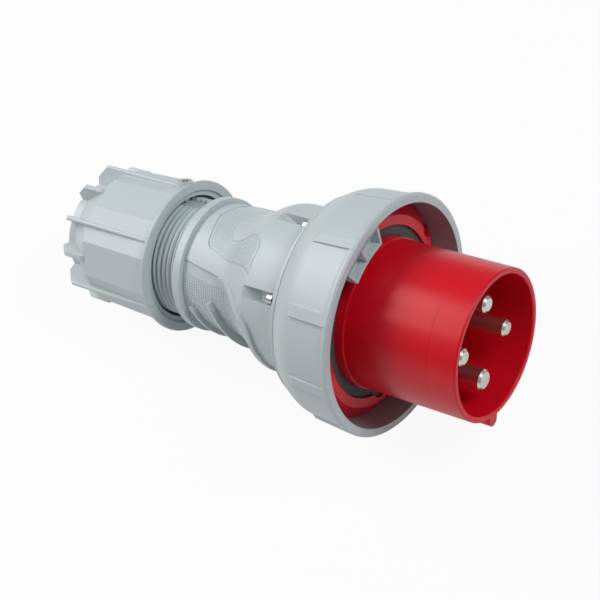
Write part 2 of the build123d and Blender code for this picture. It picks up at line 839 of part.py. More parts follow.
# One long rib of the gland nut, and one short fin that stands on its cone
rib_half = nut_back_flats / 2 - rib_width
with BuildPart() as long_rib:
    with BuildSketch(Plane.XZ):
        with BuildLine():
            Polyline(
                (x_barrel_front, rib_half),
                (x_barrel_front, rib_crest_od / 2),
                (x_nut_back + rib_chamfer_length, rib_crest_od / 2),
                (x_nut_back, rib_tail_od / 2),
                (x_nut_back, nut_tail_od / 2 - rib_sink),
                (x_cone_end, nut_tail_od / 2 - rib_sink),
                (x_barrel_back, rib_half),
                close=True,
            )
        make_face()
    extrude(amount=rib_width / 2, both=True)
    crest = long_rib.edges().filter_by(Axis.X).group_by(Axis.Z)[-1]
    fillet(crest, radius=min(rib_round, 0.45 * rib_width))

with BuildPart() as short_fin:
    with BuildSketch(Plane.XZ):
        with BuildLine():
            Polyline(
                (x_barrel_back, rib_half),
                (x_barrel_back, nut_back_flats / 2),
                (x_barrel_back - rib_sink, rib_crest_od / 2 - fin_drop),
                (x_nut_back + rib_chamfer_length, rib_crest_od / 2 - fin_drop),
                (x_nut_back, rib_tail_od / 2),
                (x_nut_back, nut_tail_od / 2 - rib_sink),
                (x_cone_end, nut_tail_od / 2 - rib_sink),
                close=True,
            )
        make_face()
    extrude(amount=rib_width / 2, both=True)

# Gland nut: flange, twelve-sided tapering barrel, cone with fins, and the cable's exit
with BuildPart() as gland_nut:
    with BuildSketch(Plane.YZ.offset(x_barrel_front)):
        RegularPolygon(nut_front_flats / 2, nut_sides, major_radius=False, rotation=180 / nut_sides)
    with BuildSketch(Plane.YZ.offset(x_barrel_back)):
        RegularPolygon(nut_back_flats / 2, nut_sides, major_radius=False, rotation=180 / nut_sides)
    loft()
    with BuildSketch(Plane.YZ.offset(x_barrel_back)):
        RegularPolygon(nut_back_flats / 2, nut_sides, major_radius=False, rotation=180 / nut_sides)
    extrude(amount=x_nut_back - x_barrel_back)
    with BuildSketch(Plane.XZ):
        with BuildLine():
            Polyline(
                (x_barrel_front, 0),
                (x_barrel_front, nut_front_flats),
                (x_barrel_back, nut_front_flats),
                (x_barrel_back, nut_back_flats / 2 + rib_width / 4),
                (x_cone_end, nut_tail_od / 2),
                (x_nut_back, nut_tail_od / 2),
                (x_nut_back, 0),
                close=True,
            )
        make_face()
    revolve(axis=Axis.X, mode=Mode.INTERSECT)
    for rib in range(rib_count):
        add(long_rib.part.rotate(Axis.X, rib * 360 / rib_count))
        add(short_fin.part.rotate(Axis.X, (rib + 0.5) * 360 / rib_count))
    with BuildSketch(Plane.YZ.offset(x_nut_front)):
        Circle(nut_flange_od / 2)
    extrude(amount=-nut_flange_thickness)
    with BuildSketch(Plane.XY.offset(nut_throat_d / 2)):
        with Locations((x_lock, 0)):
            Circle(lock_boss_d / 2)
    extrude(amount=(lock_boss_od - nut_throat_d) / 2)
    front_edge = gland_nut.edges().filter_by(GeomType.CIRCLE).group_by(Axis.X)[-1]
    chamfer(front_edge, length=flange_chamfer)
    with BuildSketch(Plane.XZ):
        with BuildLine():
            Polyline(
                (x_nut_front, 0),
                (x_nut_front, nut_mouth_d / 2),
                (x_nut_front - nut_mouth_depth, nut_mouth_d / 2),
                (x_nut_front - nut_mouth_depth, nut_throat_d / 2),
                (x_nut_front - nut_throat_depth, nut_throat_d / 2),
                (x_nut_front - nut_throat_depth, nut_bore_r),
                (x_thrust_back, nut_bore_r),
                (x_thrust_back, nut_inner_d / 2),
                (x_barrel_back, nut_inner_d / 2),
                (x_cone_end, cable_exit_d / 2),
                (x_nut_back, cable_exit_d / 2),
                (x_nut_back, 0),
                close=True,
            )
        make_face()
    revolve(axis=Axis.X, mode=Mode.SUBTRACT)
    with BuildSketch(Plane.XY):
        with Locations((x_lock, 0)):
            Circle(lock_screw_d / 2 + slip)
    extrude(amount=lock_boss_od / 2, mode=Mode.SUBTRACT)
    with BuildSketch(Plane.XY.offset(lock_boss_od / 2 - lock_head_height)):
        with Locations((x_lock, 0)):
            Circle(lock_head_d / 2 + slip)
    extrude(amount=2 * lock_head_height, mode=Mode.SUBTRACT)

# Screw through the nut's flange: its tip bears on the flat of the thread and locks the nut
with BuildPart() as gland_lock_screw:
    with BuildSketch(Plane.XY.offset(thread_root_r + lock_tip_gap)):
        with Locations((x_lock, 0)):
            Circle(lock_screw_d / 2)
    extrude(amount=lock_boss_od / 2 - lock_head_height - thread_root_r - lock_tip_gap)
    with BuildSketch(Plane.XY.offset(lock_boss_od / 2 - lock_head_height)):
        with Locations((x_lock, 0)):
            Circle(lock_head_d / 2)
    extrude(amount=lock_head_height)

pieces = {
    "sleeve_insert": sleeve_insert,
    "contact_carrier": contact_carrier,
    "locking_ring": locking_ring,
    "face_gasket": face_gasket,
    "handle_housing": handle_housing,
    "housing_seal": housing_seal,
    "ring_seal": ring_seal,
    **pins,
    **terminal_screws,
    "pin_retainer": pin_retainer,
    "retainer_screws": retainer_screws,
    "housing_screws": housing_screws,
    "cable_grommet": cable_grommet,
    "thrust_ring": thrust_ring,
    "gland_nut": gland_nut,
    "gland_lock_screw": gland_lock_screw,
}

# At rest the plug lies on the locking ring's band and on two neighbouring ribs of the nut
roll = 180 / rib_count
rib_contact = rib_crest_od / 2 * cos(radians(roll))
x_rib_contact = x_nut_back + rib_chamfer_length
x_band_contact = x_ring_front - ring_edge
nose_up = degrees(atan2(ring_r - rib_contact, x_band_contact - x_rib_contact))
turned = Rot(Y=-nose_up) * Rot(X=-roll)
box = Compound([turned * piece.part for piece in pieces.values()]).bounding_box()
resting_place = Pos(-box.center().X, -box.center().Y, -box.min.Z) * turned

for name, piece in pieces.items():
    piece.part.location = resting_place
    piece.part.label = name
    export_step(piece.part, f"parts/{name}.step")
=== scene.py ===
import json
from math import atan2, cos, degrees, hypot, pi, radians, sin

import bmesh
import bpy
from mathutils import Matrix, Vector
from mathutils.bvhtree import BVHTree


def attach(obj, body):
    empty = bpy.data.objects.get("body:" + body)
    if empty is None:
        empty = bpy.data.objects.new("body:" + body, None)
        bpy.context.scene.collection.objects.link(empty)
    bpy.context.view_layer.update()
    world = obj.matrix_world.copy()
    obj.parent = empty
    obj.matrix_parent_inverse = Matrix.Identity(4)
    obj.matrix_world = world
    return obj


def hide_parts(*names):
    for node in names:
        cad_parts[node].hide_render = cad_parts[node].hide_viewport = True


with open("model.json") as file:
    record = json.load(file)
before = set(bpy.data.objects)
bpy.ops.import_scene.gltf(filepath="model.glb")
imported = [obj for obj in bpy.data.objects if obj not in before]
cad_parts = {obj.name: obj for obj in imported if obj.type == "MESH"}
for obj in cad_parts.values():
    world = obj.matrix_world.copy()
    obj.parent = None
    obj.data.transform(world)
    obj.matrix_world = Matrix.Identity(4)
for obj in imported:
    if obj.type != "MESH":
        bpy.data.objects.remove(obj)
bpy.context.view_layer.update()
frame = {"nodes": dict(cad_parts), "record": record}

# Where the plug lies. It rests on its locking ring and on two ribs of the gland nut, so it is
# rolled and its pins point slightly upwards. Every section works along the plug's own axis, in
# metres from the sleeve's rim, X towards the pins and Z at 12 o'clock, and at_rest puts it down.
mounts = {mount["name"]: mount for mount in frame["record"]["mounts"]}
top_pin = Vector(mounts["phase_pin_l2"]["pos_m"])
bottom_pin = Vector(mounts["earth_pin"]["pos_m"])
plug_axis = Vector(mounts["phase_pin_l2"]["axis"]).normalized()
twelve = (top_pin - bottom_pin).normalized()
pins_middle = (top_pin + bottom_pin) / 2
to_rim = (Vector(mounts["sleeve_rim"]["pos_m"]) - pins_middle).dot(plug_axis)
at_rest = Matrix((plug_axis, twelve.cross(plug_axis), twelve)).transposed().to_4x4()
at_rest.translation = pins_middle + plug_axis * to_rim
off_rest = at_rest.inverted()


def clock(angle, radius=1.0, x=0.0):
    """The point at this clock angle in degrees, 0 at 12 o'clock and 90 at 9 o'clock."""
    return Vector((x, -radius * sin(radians(angle)), radius * cos(radians(angle))))


# Camera. Its place beside the plug and its lens were solved from the circles of the sleeve, the
# ring and the nut in the photograph, and it keeps that place relative to the plug at rest.
camera_place = Vector((0.28407, -0.51947, 0.28625))
camera_view = Vector((-0.54980, 0.72768, -0.41012)).normalized()
camera_right = Vector((0.79961, 0.60049, -0.00649)).normalized()
focal_length_px = 1483.3
photo_width_px = 600

camera_data = bpy.data.cameras.new("camera")
camera_data.sensor_width = 36
camera_data.lens = focal_length_px * camera_data.sensor_width / photo_width_px
camera_data.clip_start = 0.05
camera = bpy.data.objects.new("camera", camera_data)
bpy.context.scene.collection.objects.link(camera)
camera_up = camera_right.cross(camera_view)
camera_turn = Matrix((camera_right, camera_up, -camera_view)).transposed().to_4x4()
camera.matrix_world = at_rest @ Matrix.Translation(camera_place) @ camera_turn
bpy.context.scene.camera = camera

# Studio. The plug lies on a pale floor. Two soft boxes behind it on the camera's side draw the
# long highlights, a cooler third fills in from the front, and a dim surround lights the rest.
# Floor and surround look white to the camera, and the floor keeps a trace of the shadow.
floor_size = 6.0
floor_matt = (0.75, 0.75, 0.75, 1.0)
floor_glow = 0.93
floor_gloss = 0.40
surround_strength = 0.25
surround_tint = (0.93, 0.97, 1.0, 1.0)
pure_white = (1.0, 1.0, 1.0, 1.0)
box_size = 0.6
box_distance = 1.07
box_aim = -0.12
back_boxes = -0.95
high_clock = 30.0
high_watts = 6.2
low_clock = 58.0
low_watts = 4.6
front_clock = 15.0
front_box = 0.85
front_watts = 9.2
front_tint = (0.84, 0.93, 1.0)
white_light = (1.0, 1.0, 1.0)


class Signal:
    """A value on its way through a material. Arithmetic on it adds the Math nodes."""

    def __init__(self, finish, socket):
        self.finish = finish
        self.socket = socket

    def __add__(self, other):
        return self.finish.maths("ADD", self, other)

    def __radd__(self, other):
        return self.finish.maths("ADD", other, self)

    def __sub__(self, other):
        return self.finish.maths("SUBTRACT", self, other)

    def __rsub__(self, other):
        return self.finish.maths("SUBTRACT", other, self)

    def __mul__(self, other):
        return self.finish.maths("MULTIPLY", self, other)

    def __rmul__(self, other):
        return self.finish.maths("MULTIPLY", other, self)

    def __abs__(self):
        return self.finish.maths("ABSOLUTE", self)

    def below(self, limit, blur):
        """1 where the value is under the limit, 0 where it is over, with a soft step between."""
        return self.finish.maths("ADD", (limit - self) * (1 / blur), 0.5, clamp=True)


class Finish:
    """A material or world under construction. add() is the one way in which it gets a node."""

    def __init__(self, made, end="ShaderNodeOutputMaterial"):
        self.made = made
        self.made.use_nodes = True
        self.tree = self.made.node_tree
        self.tree.nodes.clear()
        self.end = self.tree.nodes.new(end)

    def add(self, kind, settings=None, sockets=None, output=0):
        node = self.tree.nodes.new(kind)
        for key, value in (settings or {}).items():
            setattr(node, key, value)
        for key, value in (sockets or {}).items():
            if isinstance(value, Signal):
                self.tree.links.new(value.socket, node.inputs[key])
            else:
                node.inputs[key].default_value = value
        return Signal(self, node.outputs[output])

    def maths(self, operation, *terms, clamp=False):
        settings = {"operation": operation, "use_clamp": clamp}
        return self.add("ShaderNodeMath", settings, dict(enumerate(terms)))

    def vector_maths(self, operation, *terms, output="Vector"):
        settings = {"operation": operation}
        return self.add("ShaderNodeVectorMath", settings, dict(enumerate(terms)), output)

    def place(self):
        """Object coordinates, which are metres in the row frame on every piece."""
        return self.add("ShaderNodeTexCoord", output="Object")

    def blend(self, share, first, second):
        """A colour between two others. A colour mix takes its share and colours at 0, 6 and 7."""
        sockets = {0: share, 6: first, 7: second}
        return self.add("ShaderNodeMix", {"data_type": "RGBA"}, sockets, output=2)

    def noise(self, scale, detail=2.0):
        sockets = {"Vector": self.place(), "Scale": scale, "Detail": detail}
        return self.add("ShaderNodeTexNoise", None, sockets, output="Fac")

    def surface(self, shader):
        self.tree.links.new(shader.socket, self.end.inputs["Surface"])
        return self.made


def soft_box(name, angle, along, watts, tint):
    """A square lamp at this clock angle and place along the plug, turned towards its middle."""
    data = bpy.data.lights.new(name, "AREA")
    data.shape = "SQUARE"
    data.size = box_size
    data.energy = watts
    data.color = tint
    lamp = bpy.data.objects.new(name, data)
    where = at_rest @ clock(angle, box_distance, along)
    aim = (where - at_rest @ Vector((box_aim, 0, 0))).to_track_quat("Z", "Y")
    lamp.matrix_world = Matrix.Translation(where) @ aim.to_matrix().to_4x4()
    bpy.context.scene.collection.objects.link(lamp)


soft_box("high_box", high_clock, back_boxes, high_watts, white_light)
soft_box("low_box", low_clock, back_boxes, low_watts, white_light)
soft_box("front_box", front_clock, front_box, front_watts, front_tint)

paint = Finish(bpy.data.materials.new("studio_floor"))
matt = paint.add("ShaderNodeBsdfDiffuse", None, {"Color": floor_matt})
glow = paint.add("ShaderNodeEmission", None, {"Color": pure_white, "Strength": 1.0})
seen = paint.add("ShaderNodeLightPath", output="Is Camera Ray") * floor_glow
mirrored = paint.add("ShaderNodeLightPath", output="Is Glossy Ray") * floor_gloss
share = paint.maths("MAXIMUM", seen, mirrored)
floor_shape = bmesh.new()
bmesh.ops.create_grid(floor_shape, x_segments=1, y_segments=1, size=floor_size / 2)
floor_mesh = bpy.data.meshes.new("studio_floor")
floor_shape.to_mesh(floor_mesh)
floor_shape.free()
floor_mesh.materials.append(
    paint.surface(paint.add("ShaderNodeMixShader", None, {0: share, 1: matt, 2: glow}))
)
floor = bpy.data.objects.new("studio_floor", floor_mesh)
bpy.context.scene.collection.objects.link(floor)

world = bpy.data.worlds.new("studio")
bpy.context.scene.world = world
sky = Finish(world, "ShaderNodeOutputWorld")
dim = sky.add(
    "ShaderNodeBackground", None, {"Color": surround_tint, "Strength": surround_strength}
)
white = sky.add("ShaderNodeBackground", None, {"Color": pure_white, "Strength": 1.0})
direct = sky.add("ShaderNodeLightPath", output="Is Camera Ray")
sky.surface(sky.add("ShaderNodeMixShader", None, {0: direct, 1: dim, 2: white}))
bpy.context.scene.view_settings.view_transform = "Standard"

# Handle housing. One grey polyamide moulding with a knurled thumb pad over the neck, a recessed
# lower grip with a brick pattern, and screw channels. A fine parting line runs along both sides,
# and the pad's middle lies a few degrees round from 12 o'clock.
grey =(0.590, 0.636, 0.643)
grey_rough = 0.40
# Painted highlight: a lighter, glossier copy of the grey for the raised knurl, bead and bricks,
# standing in for the light on their tops.
lit_grey_tone = (0.680, 0.726, 0.730)
lit_grey_rough = 0.34
lit_grey_edge = 0.0001
drift_scale = 14.0
drift_dark = 0.955
rough_scale = 160.0
rough_spread = 0.08
grain_scale = 2600.0
grain_depth = 0.00003
line_depth = 12.0
line_share = 0.6
line_dark = 0.4
clocking = 14.0
parting_normal = at_rest.to_3x3() @ clock(clocking + 90)
parting_half = 0.00012
smooth_below = radians(22)
beyond_skin = 0.060
slope_reach = 0.0005
stud_top = 0.6
grip_back = -0.1545
grip_front = -0.1085
plain_angle = clocking + 50.5


def moulded(name, colour, roughness, edge=0.0004, line=None, painted_shade=None, index=1.5):
    """Injection-moulded plastic: eroded mould grain, a slight drift of tone and rounded edges."""
    finish = Finish(bpy.data.materials.new(name))
    deep = [channel * drift_dark for channel in colour]
    tone = finish.blend(finish.noise(drift_scale), (*deep, 1), (*colour, 1))
    rough = roughness - rough_spread / 2 + rough_spread * finish.noise(rough_scale)
    height = finish.noise(grain_scale, 1.0)
    if line:
        mark = line(finish)
        height = height - mark * line_depth
        dark = [channel * line_dark for channel in colour]
        tone = finish.blend(mark * line_share, tone, (*dark, 1))
    # Painted shade: a darker tone laid over the masked area.
    if painted_shade:
        on_painted_shade, painted_shade_tone = painted_shade
        tone = finish.blend(on_painted_shade(finish), tone, (*painted_shade_tone, 1))
    soft = finish.add("ShaderNodeBevel", {"samples": 6}, {"Radius": edge})
    bump = {"Strength": 0.5, "Distance": grain_depth, "Height": height, "Normal": soft}
    normal = finish.add("ShaderNodeBump", None, bump)
    sockets = {"Base Color": tone, "Roughness": rough, "Normal": normal, "IOR": index}
    return finish.surface(finish.add("ShaderNodeBsdfPrincipled", None, sockets))


def from_rim(finish):
    """Where the surface is, as a vector from the middle of the sleeve's rim."""
    return finish.vector_maths("SUBTRACT", finish.place(), at_rest.translation)


def parting_line(finish):
    """The fine line along both sides of the housing where the halves of its mould met."""
    away = finish.vector_maths("DOT_PRODUCT", from_rim(finish), parting_normal, output="Value")
    return abs(away).below(parting_half, parting_half / 2)


def dress(node, material):
    """Gives a CAD node its finish in place of the plain one that it came with."""
    mesh = frame["nodes"][node].data
    mesh.materials.clear()
    mesh.materials.append(material)


def finished(name, shape, body, material):
    """Puts a shape made along the plug's axis in its place, as a piece that rides on a body."""
    shape.transform(at_rest)
    bmesh.ops.recalc_face_normals(shape, faces=shape.faces)
    for face in shape.faces:
        face.smooth = True
    for edge in shape.edges:
        edge.smooth = len(edge.link_faces) == 2 and edge.calc_face_angle() < smooth_below
    mesh = bpy.data.meshes.new(name)
    shape.to_mesh(mesh)
    shape.free()
    mesh.materials.append(material)
    piece = bpy.data.objects.new(name, mesh)
    bpy.context.scene.collection.objects.link(piece)
    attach(piece, body)
    return piece


def housing_radius(x, angle):
    """Radius of the housing's outer surface at this place along the axis and clock angle."""
    hit = skin.ray_cast(clock(angle, beyond_skin, x), -clock(angle))[0]
    return hypot(hit.y, hit.z)


def stud(shape, x, angle, half_along, half_around, height, tilt=0.0):
    """A small raised block with sloping sides that stands on the housing's surface."""
    rise = housing_radius(x + slope_reach, angle) - housing_radius(x - slope_reach, angle)
    stand = (
        Matrix.Translation(clock(angle, housing_radius(x, angle), x))
        @ Matrix.Rotation(radians(angle), 4, "X")
        @ Matrix.Rotation(-atan2(rise, 2 * slope_reach), 4, "Y")
        @ Matrix.Rotation(tilt, 4, "Z")
        @ Matrix.Diagonal((half_along * 2**0.5, half_around * 2**0.5, 1, 1))
        @ Matrix.Rotation(pi / 4, 4, "Z")
    )
    bmesh.ops.create_cone(
        shape, cap_ends=True, segments=4, radius1=1.0, radius2=stud_top, depth=height * 2,
        matrix=stand,
    )


grey_plain = moulded("grey_polyamide", grey, grey_rough)
# Painted highlight: the lighter grey that the raised studs get, for the light on their tops.
grey_painted_lit = moulded("grey_polyamide_painted_lit", lit_grey_tone, lit_grey_rough, edge=lit_grey_edge)
dress("handle_housing", moulded("grey_polyamide_seamed", grey, grey_rough, line=parting_line))

housing_mesh = frame["nodes"]["handle_housing"].data
skin = BVHTree.FromPolygons(
    [off_rest @ vertex.co for vertex in housing_mesh.vertices],
    [tuple(polygon.vertices) for polygon in housing_mesh.polygons],
)

# Knurl of the thumb pad: fine points moulded on its sunken floor inside a low bead, and slanting
# ridges at the two tips beside the drum. It is part of the housing's moulding.
pad_half = 0.032
pad_sunk = (0.00022, 0.00075)
knurl_pitch = 0.00085
knurl_row = knurl_pitch * 0.8
knurl_half = knurl_pitch * 0.40
knurl_height = 0.00020
knurl_margin = 0.0016
tip_back = -0.1250
tip_side = 0.0130
ridge_lines = 16
ridge_steps = 44
ridge_spacing = 0.00115
ridge_slant = radians(35.0)
ridge_step = 0.0006
ridge_long = ridge_step * 0.75
ridge_wide = 0.00024
ridge_height = knurl_height * 0.8
bead_outer = 0.0006
bead_inner = 0.0014
bead_step = 0.0004
bead_half = bead_step * 0.75
bead_height = 0.00022


def on_pad(x, across):
    """Whether this place, across metres round from the pad's middle, is on its sunken floor."""
    plain = housing_radius(x, plain_angle)
    sunk = plain - housing_radius(x, clocking + degrees(across / plain))
    return pad_sunk[0] < sunk < pad_sunk[1]


def well_inside(x, across, margin):
    """Whether this place is on the floor and so are the four a margin away from it."""
    around_it = (
        (x - margin, across), (x + margin, across), (x, across - margin), (x, across + margin),
    )
    return on_pad(x, across) and all(on_pad(*spot) for spot in around_it)


def pad_stud(x, across, half_along, half_around, height, tilt):
    """A stud on the pad, across metres round from its middle."""
    angle = clocking + degrees(across / housing_radius(x, plain_angle))
    stud(knurl, x, angle, half_along, half_around, height, tilt)


knurl = bmesh.new()
for row in range(int((grip_front - grip_back) / knurl_row)):
    x = grip_back + row * knurl_row
    for column in range(-int(pad_half / knurl_pitch), int(pad_half / knurl_pitch) + 1):
        across = (column + 0.5 * (row % 2)) * knurl_pitch
        in_tip = x > tip_back and abs(across) > tip_side
        if not in_tip and well_inside(x, across, knurl_margin):
            pad_stud(x, across, knurl_half, knurl_half, knurl_height, pi / 4)
for line in range(-ridge_lines, ridge_lines + 1):
    for step in range(ridge_steps):
        along = step * ridge_step
        aside = line * ridge_spacing
        x = tip_back + along * cos(ridge_slant) - aside * sin(ridge_slant)
        across = tip_side + along * sin(ridge_slant) + aside * cos(ridge_slant)
        in_tip = tip_back < x < grip_front and across > tip_side
        if in_tip and well_inside(x, across, bead_inner):
            for side in (1, -1):
                tilt = side * ridge_slant
                pad_stud(x, side * across, ridge_long, ridge_wide, ridge_height, tilt)
for row in range(int((grip_front - grip_back) / bead_step)):
    x = grip_back + row * bead_step
    for column in range(int(pad_half / bead_step)):
        across = column * bead_step
        if well_inside(x, across, bead_outer) and not well_inside(x, across, bead_inner):
            for side in (1, -1):
                pad_stud(x, side * across, bead_half, bead_half, bead_height, 0.0)
finished("thumb_pad_knurl", knurl, "handle", grey_painted_lit)

# Brick pattern of the lower grip: low blocks in staggered rows on the recessed floor, inside a
# smooth strip along its border and clear of the two finger ribs. It is moulded in one with it.
brick_joint = 0.76
brick_along = 0.00140
brick_around = 0.00100
brick_long = brick_along * brick_joint / 2
brick_wide = brick_around * brick_joint / 2
brick_height = 0.00034
grip_sunk = (0.00040, 0.0045)
grip_radius = 0.031
half_span = 118.0
strip_width = 0.0052
strip_front = 0.0090
rib_margin = 0.0012
strip_angle = degrees(strip_width / grip_radius)
margin_angle = degrees(rib_margin / grip_radius)
brick_angle = degrees(brick_around / grip_radius)


def in_grip(x, angle):
    """Whether this place is on the recessed floor of the lower grip."""
    sunk = housing_radius(x, plain_angle) - housing_radius(x, angle)
    return grip_sunk[0] < sunk < grip_sunk[1]


bricks = bmesh.new()
x = grip_back
column = 0
while x < grip_front:
    for row in range(int(half_span / brick_angle) + 1):
        away = 180 - (row + 0.5 * (column % 2)) * brick_angle
        for side in (1, -1):
            angle = clocking + side * away
            reach = (
                (x, clocking + side * (away - strip_angle)), (x + strip_front, angle),
                (x - rib_margin, angle), (x + rib_margin, angle),
                (x, angle - margin_angle), (x, angle + margin_angle),
            )
            if away > 0 and in_grip(x, angle) and all(in_grip(*spot) for spot in reach):
                stud(bricks, x, angle, brick_long, brick_wide, brick_height)
    x += brick_along
    column += 1
finished("lower_grip_bricks", bricks, "handle", grey_painted_lit)

# Thread of the housing for the gland nut: right-handed, cut away at 12 o'clock, where the nut's
# locking screw bears on a flat. It is moulded in one with the housing.
pitch = 0.0030
thread_root = 0.0283
thread_crest = 0.0299
thread_front = -0.1616
thread_back = -0.1915
thread_flat = 22.0
thread_round = 0.00022
thread_sharp = radians(25)
male_widths = (0.0024, 0.0010)
steps_a_turn = 96


def ridge(shape, x, start, arc, root, crest, widths):
    """One thread ridge from this place, swept round the axis by an arc in degrees."""
    foot, top = widths
    corners = ((-foot / 2, root), (-top / 2, crest), (top / 2, crest), (foot / 2, root))
    vertices = [shape.verts.new(clock(start, radius, x + along)) for along, radius in corners]
    face = shape.faces.new(vertices)
    steps = int(steps_a_turn * arc / 360)
    bmesh.ops.spin(
        shape, geom=[face], cent=(0, 0, 0), axis=(1, 0, 0), dvec=(pitch * arc / 360 / steps, 0, 0),
        angle=radians(arc), steps=steps, use_duplicate=False,
    )


male = bmesh.new()
ridge_at = thread_front - pitch
while ridge_at > thread_back:
    ridge(male, ridge_at, thread_flat / 2, 360 - thread_flat, thread_root, thread_crest, male_widths)
    ridge_at -= pitch
corner_edges = [
    edge for edge in male.edges if edge.is_manifold and edge.calc_face_angle() > thread_sharp
]
bmesh.ops.bevel(
    male, geom=corner_edges, offset=thread_round, segments=2, profile=0.5, material=-1,
    affect="EDGES",
)
finished("housing_thread", male, "handle", grey_plain)

# Locking ring. A grey polyamide ring that turns on the housing, with ten grip bars and two lugs
# that draw the connector on. Its bore is painted a darker grey, as painted shade deep inside the
# ring.
ring_rough = 0.38
ring_edge = 0.0005
# Painted shade: the darker grey of the ring's bore stands in for the shade deep inside the ring.
painted_bore_shade_colour = (0.340, 0.440, 0.465)
bore_radii = (0.0518, 0.0537)
bore_back = -0.0715
bore_blur = 0.0003


def about_axis(finish):
    """How far out from the plug's axis the surface is, and how far along it."""
    offset = from_rim(finish)
    across = finish.vector_maths("CROSS_PRODUCT", offset, plug_axis)
    radius = finish.vector_maths("LENGTH", across, output="Value")
    return radius, finish.vector_maths("DOT_PRODUCT", offset, plug_axis, output="Value")


def ring_bore_painted_shade(finish):
    """The share of the surface that lies on the ring's bore, where the painted shade goes."""
    radius, along = about_axis(finish)
    inner, outer = bore_radii
    on_bore = radius.below(outer, bore_blur) * (1 - radius.below(inner, bore_blur))
    return on_bore * (1 - along.below(bore_back, bore_blur))


grey_ring = moulded(
    "grey_polyamide_ring", grey, ring_rough, edge=ring_edge, painted_shade=(ring_bore_painted_shade, painted_bore_shade_colour)
)
dress("locking_ring", grey_ring)

# Gland nut. A grey polyamide nut with ribs and fins for a wrench or a hand. Its shape is the CAD
# nut's, with rounded edges, and with the bore opened to the depth of its own thread, whose ridges
# run halfway between those of the housing.
female_root = 0.0302
female_crest = 0.0286
female_widths = (0.0018, 0.0006)
bore_match = 0.00006
weld = 0.000002
nut_thread_front = -0.1830
nut_thread_back = -0.2040
first_turn = int((thread_front - nut_thread_front) / pitch) + 1
last_turn = int((thread_front - nut_thread_back) / pitch)

nut = bmesh.new()
nut.from_mesh(frame["nodes"]["gland_nut"].data)
bmesh.ops.remove_doubles(nut, verts=nut.verts, dist=weld)
nut.transform(off_rest)
for vertex in nut.verts:
    radius = hypot(vertex.co.y, vertex.co.z)
    if abs(radius - female_crest) < bore_match:
        vertex.co.y *= female_root / radius
        vertex.co.z *= female_root / radius
grey_nut = moulded("grey_polyamide_nut", grey, ring_rough, edge=ring_edge)
nut_piece = finished("gland_nut_body", nut, "gland", grey_nut)
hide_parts("gland_nut")

female = bmesh.new()
for turn in range(first_turn, last_turn):
    ridge_at = thread_front - (turn + 0.5) * pitch
    ridge(female, ridge_at, thread_flat / 2, 360, female_root, female_crest, female_widths)
finished("gland_nut_thread", female, "gland", grey_plain)

# Sleeve insert and contact carrier. Glossy red polyamide mouldings: the insert is the sleeve with
# its key and flange, the carrier the disc in which the pins stand. A faint ring runs round the
# outside of the sleeve where the mould's parts meet.
red = (0.74, 0.004, 0.016)
red_rough = 0.31
red_index = 1.42
mould_ring_at = -0.0145
mould_ring_half = 0.00008
outer_skin = 0.0345
skin_blur = 0.0002


def mould_ring(finish):
    """The fine ring round the outside of the sleeve."""
    radius, along = about_axis(finish)
    near = abs(along - mould_ring_at).below(mould_ring_half, mould_ring_half / 2)
    return near * (1 - radius.below(outer_skin, skin_blur))


red_ringed = moulded("red_polyamide_ringed", red, red_rough, line=mould_ring, index=red_index)
dress("sleeve_insert", red_ringed)
dress("contact_carrier", moulded("red_polyamide", red, red_rough, index=red_index))

# Seals. Dark grey rubber: the gasket at the sleeve's foot, the two ring seals and the sleeve
# that grips the cable, with the fine bloom of moulded rubber.
rubber_dark = (0.060, 0.060, 0.056, 1)
rubber_pale = (0.085, 0.085, 0.080, 1)
rubber_rough = 0.55
bloom_rough = 0.15
bloom_scale = 55.0
rubber_grain_scale = 1800.0
rubber_grain_depth = 0.00004

rubber = Finish(bpy.data.materials.new("dark_rubber"))
bloom = rubber.noise(bloom_scale, 4.0)
rubber_grain = rubber.noise(rubber_grain_scale)
rubber_bump = {"Strength": 0.5, "Distance": rubber_grain_depth, "Height": rubber_grain}
rubber_sockets = {
    "Base Color": rubber.blend(bloom, rubber_dark, rubber_pale),
    "Roughness": rubber_rough + bloom_rough * bloom,
    "Normal": rubber.add("ShaderNodeBump", None, rubber_bump),
}
dark_rubber = rubber.surface(rubber.add("ShaderNodeBsdfPrincipled", None, rubber_sockets))
for seal in ("face_gasket", "housing_seal", "ring_seal", "cable_grommet"):
    dress(seal, dark_rubber)

# Slip ring and retainer plate. Plain dark polyamide mouldings inside the plug: the ring slips
# between the nut and the rubber sleeve, and the plate keeps the pins in.
dark_grey = (0.045, 0.046, 0.050)
dark_rough = 0.45
dark_plain = moulded("dark_polyamide", dark_grey, dark_rough)
for inner in ("thrust_ring", "pin_retainer"):
    dress(inner, dark_plain)

# Contact pins. Turned brass with a satin nickel plate, a little uneven in tone and gloss. They
# stand in the contact carrier.
nickel_colour = (0.84, 0.80, 0.71)
nickel_rough = 0.32
nickel_ripple = 900.0
plate_drift_scale = 220.0
plate_dark = 0.92
plate_rough_scale = 420.0
plate_rough_low = -0.02
plate_rough_range = 0.05
plate_ripple_depth = 0.000003


def plated(name, colour, roughness, ripple_scale):
    """A metal plate with a slight drift of tone and gloss and a very fine ripple."""
    finish = Finish(bpy.data.materials.new(name))
    deep = [channel * plate_dark for channel in colour]
    ripple = finish.noise(ripple_scale, 3.0)
    bump = {"Strength": 0.4, "Distance": plate_ripple_depth, "Height": ripple}
    unevenness = plate_rough_range * finish.noise(plate_rough_scale)
    sockets = {
        "Base Color": finish.blend(finish.noise(plate_drift_scale), (*deep, 1), (*colour, 1)),
        "Metallic": 1.0,
        "Roughness": roughness + plate_rough_low + unevenness,
        "Normal": finish.add("ShaderNodeBump", None, bump),
    }
    return finish.surface(finish.add("ShaderNodeBsdfPrincipled", None, sockets))


nickel = plated("nickel_plate", nickel_colour, nickel_rough, nickel_ripple)
for pin in ("phase_pin_l1", "phase_pin_l2", "phase_pin_l3", "earth_pin"):
    dress(pin, nickel)

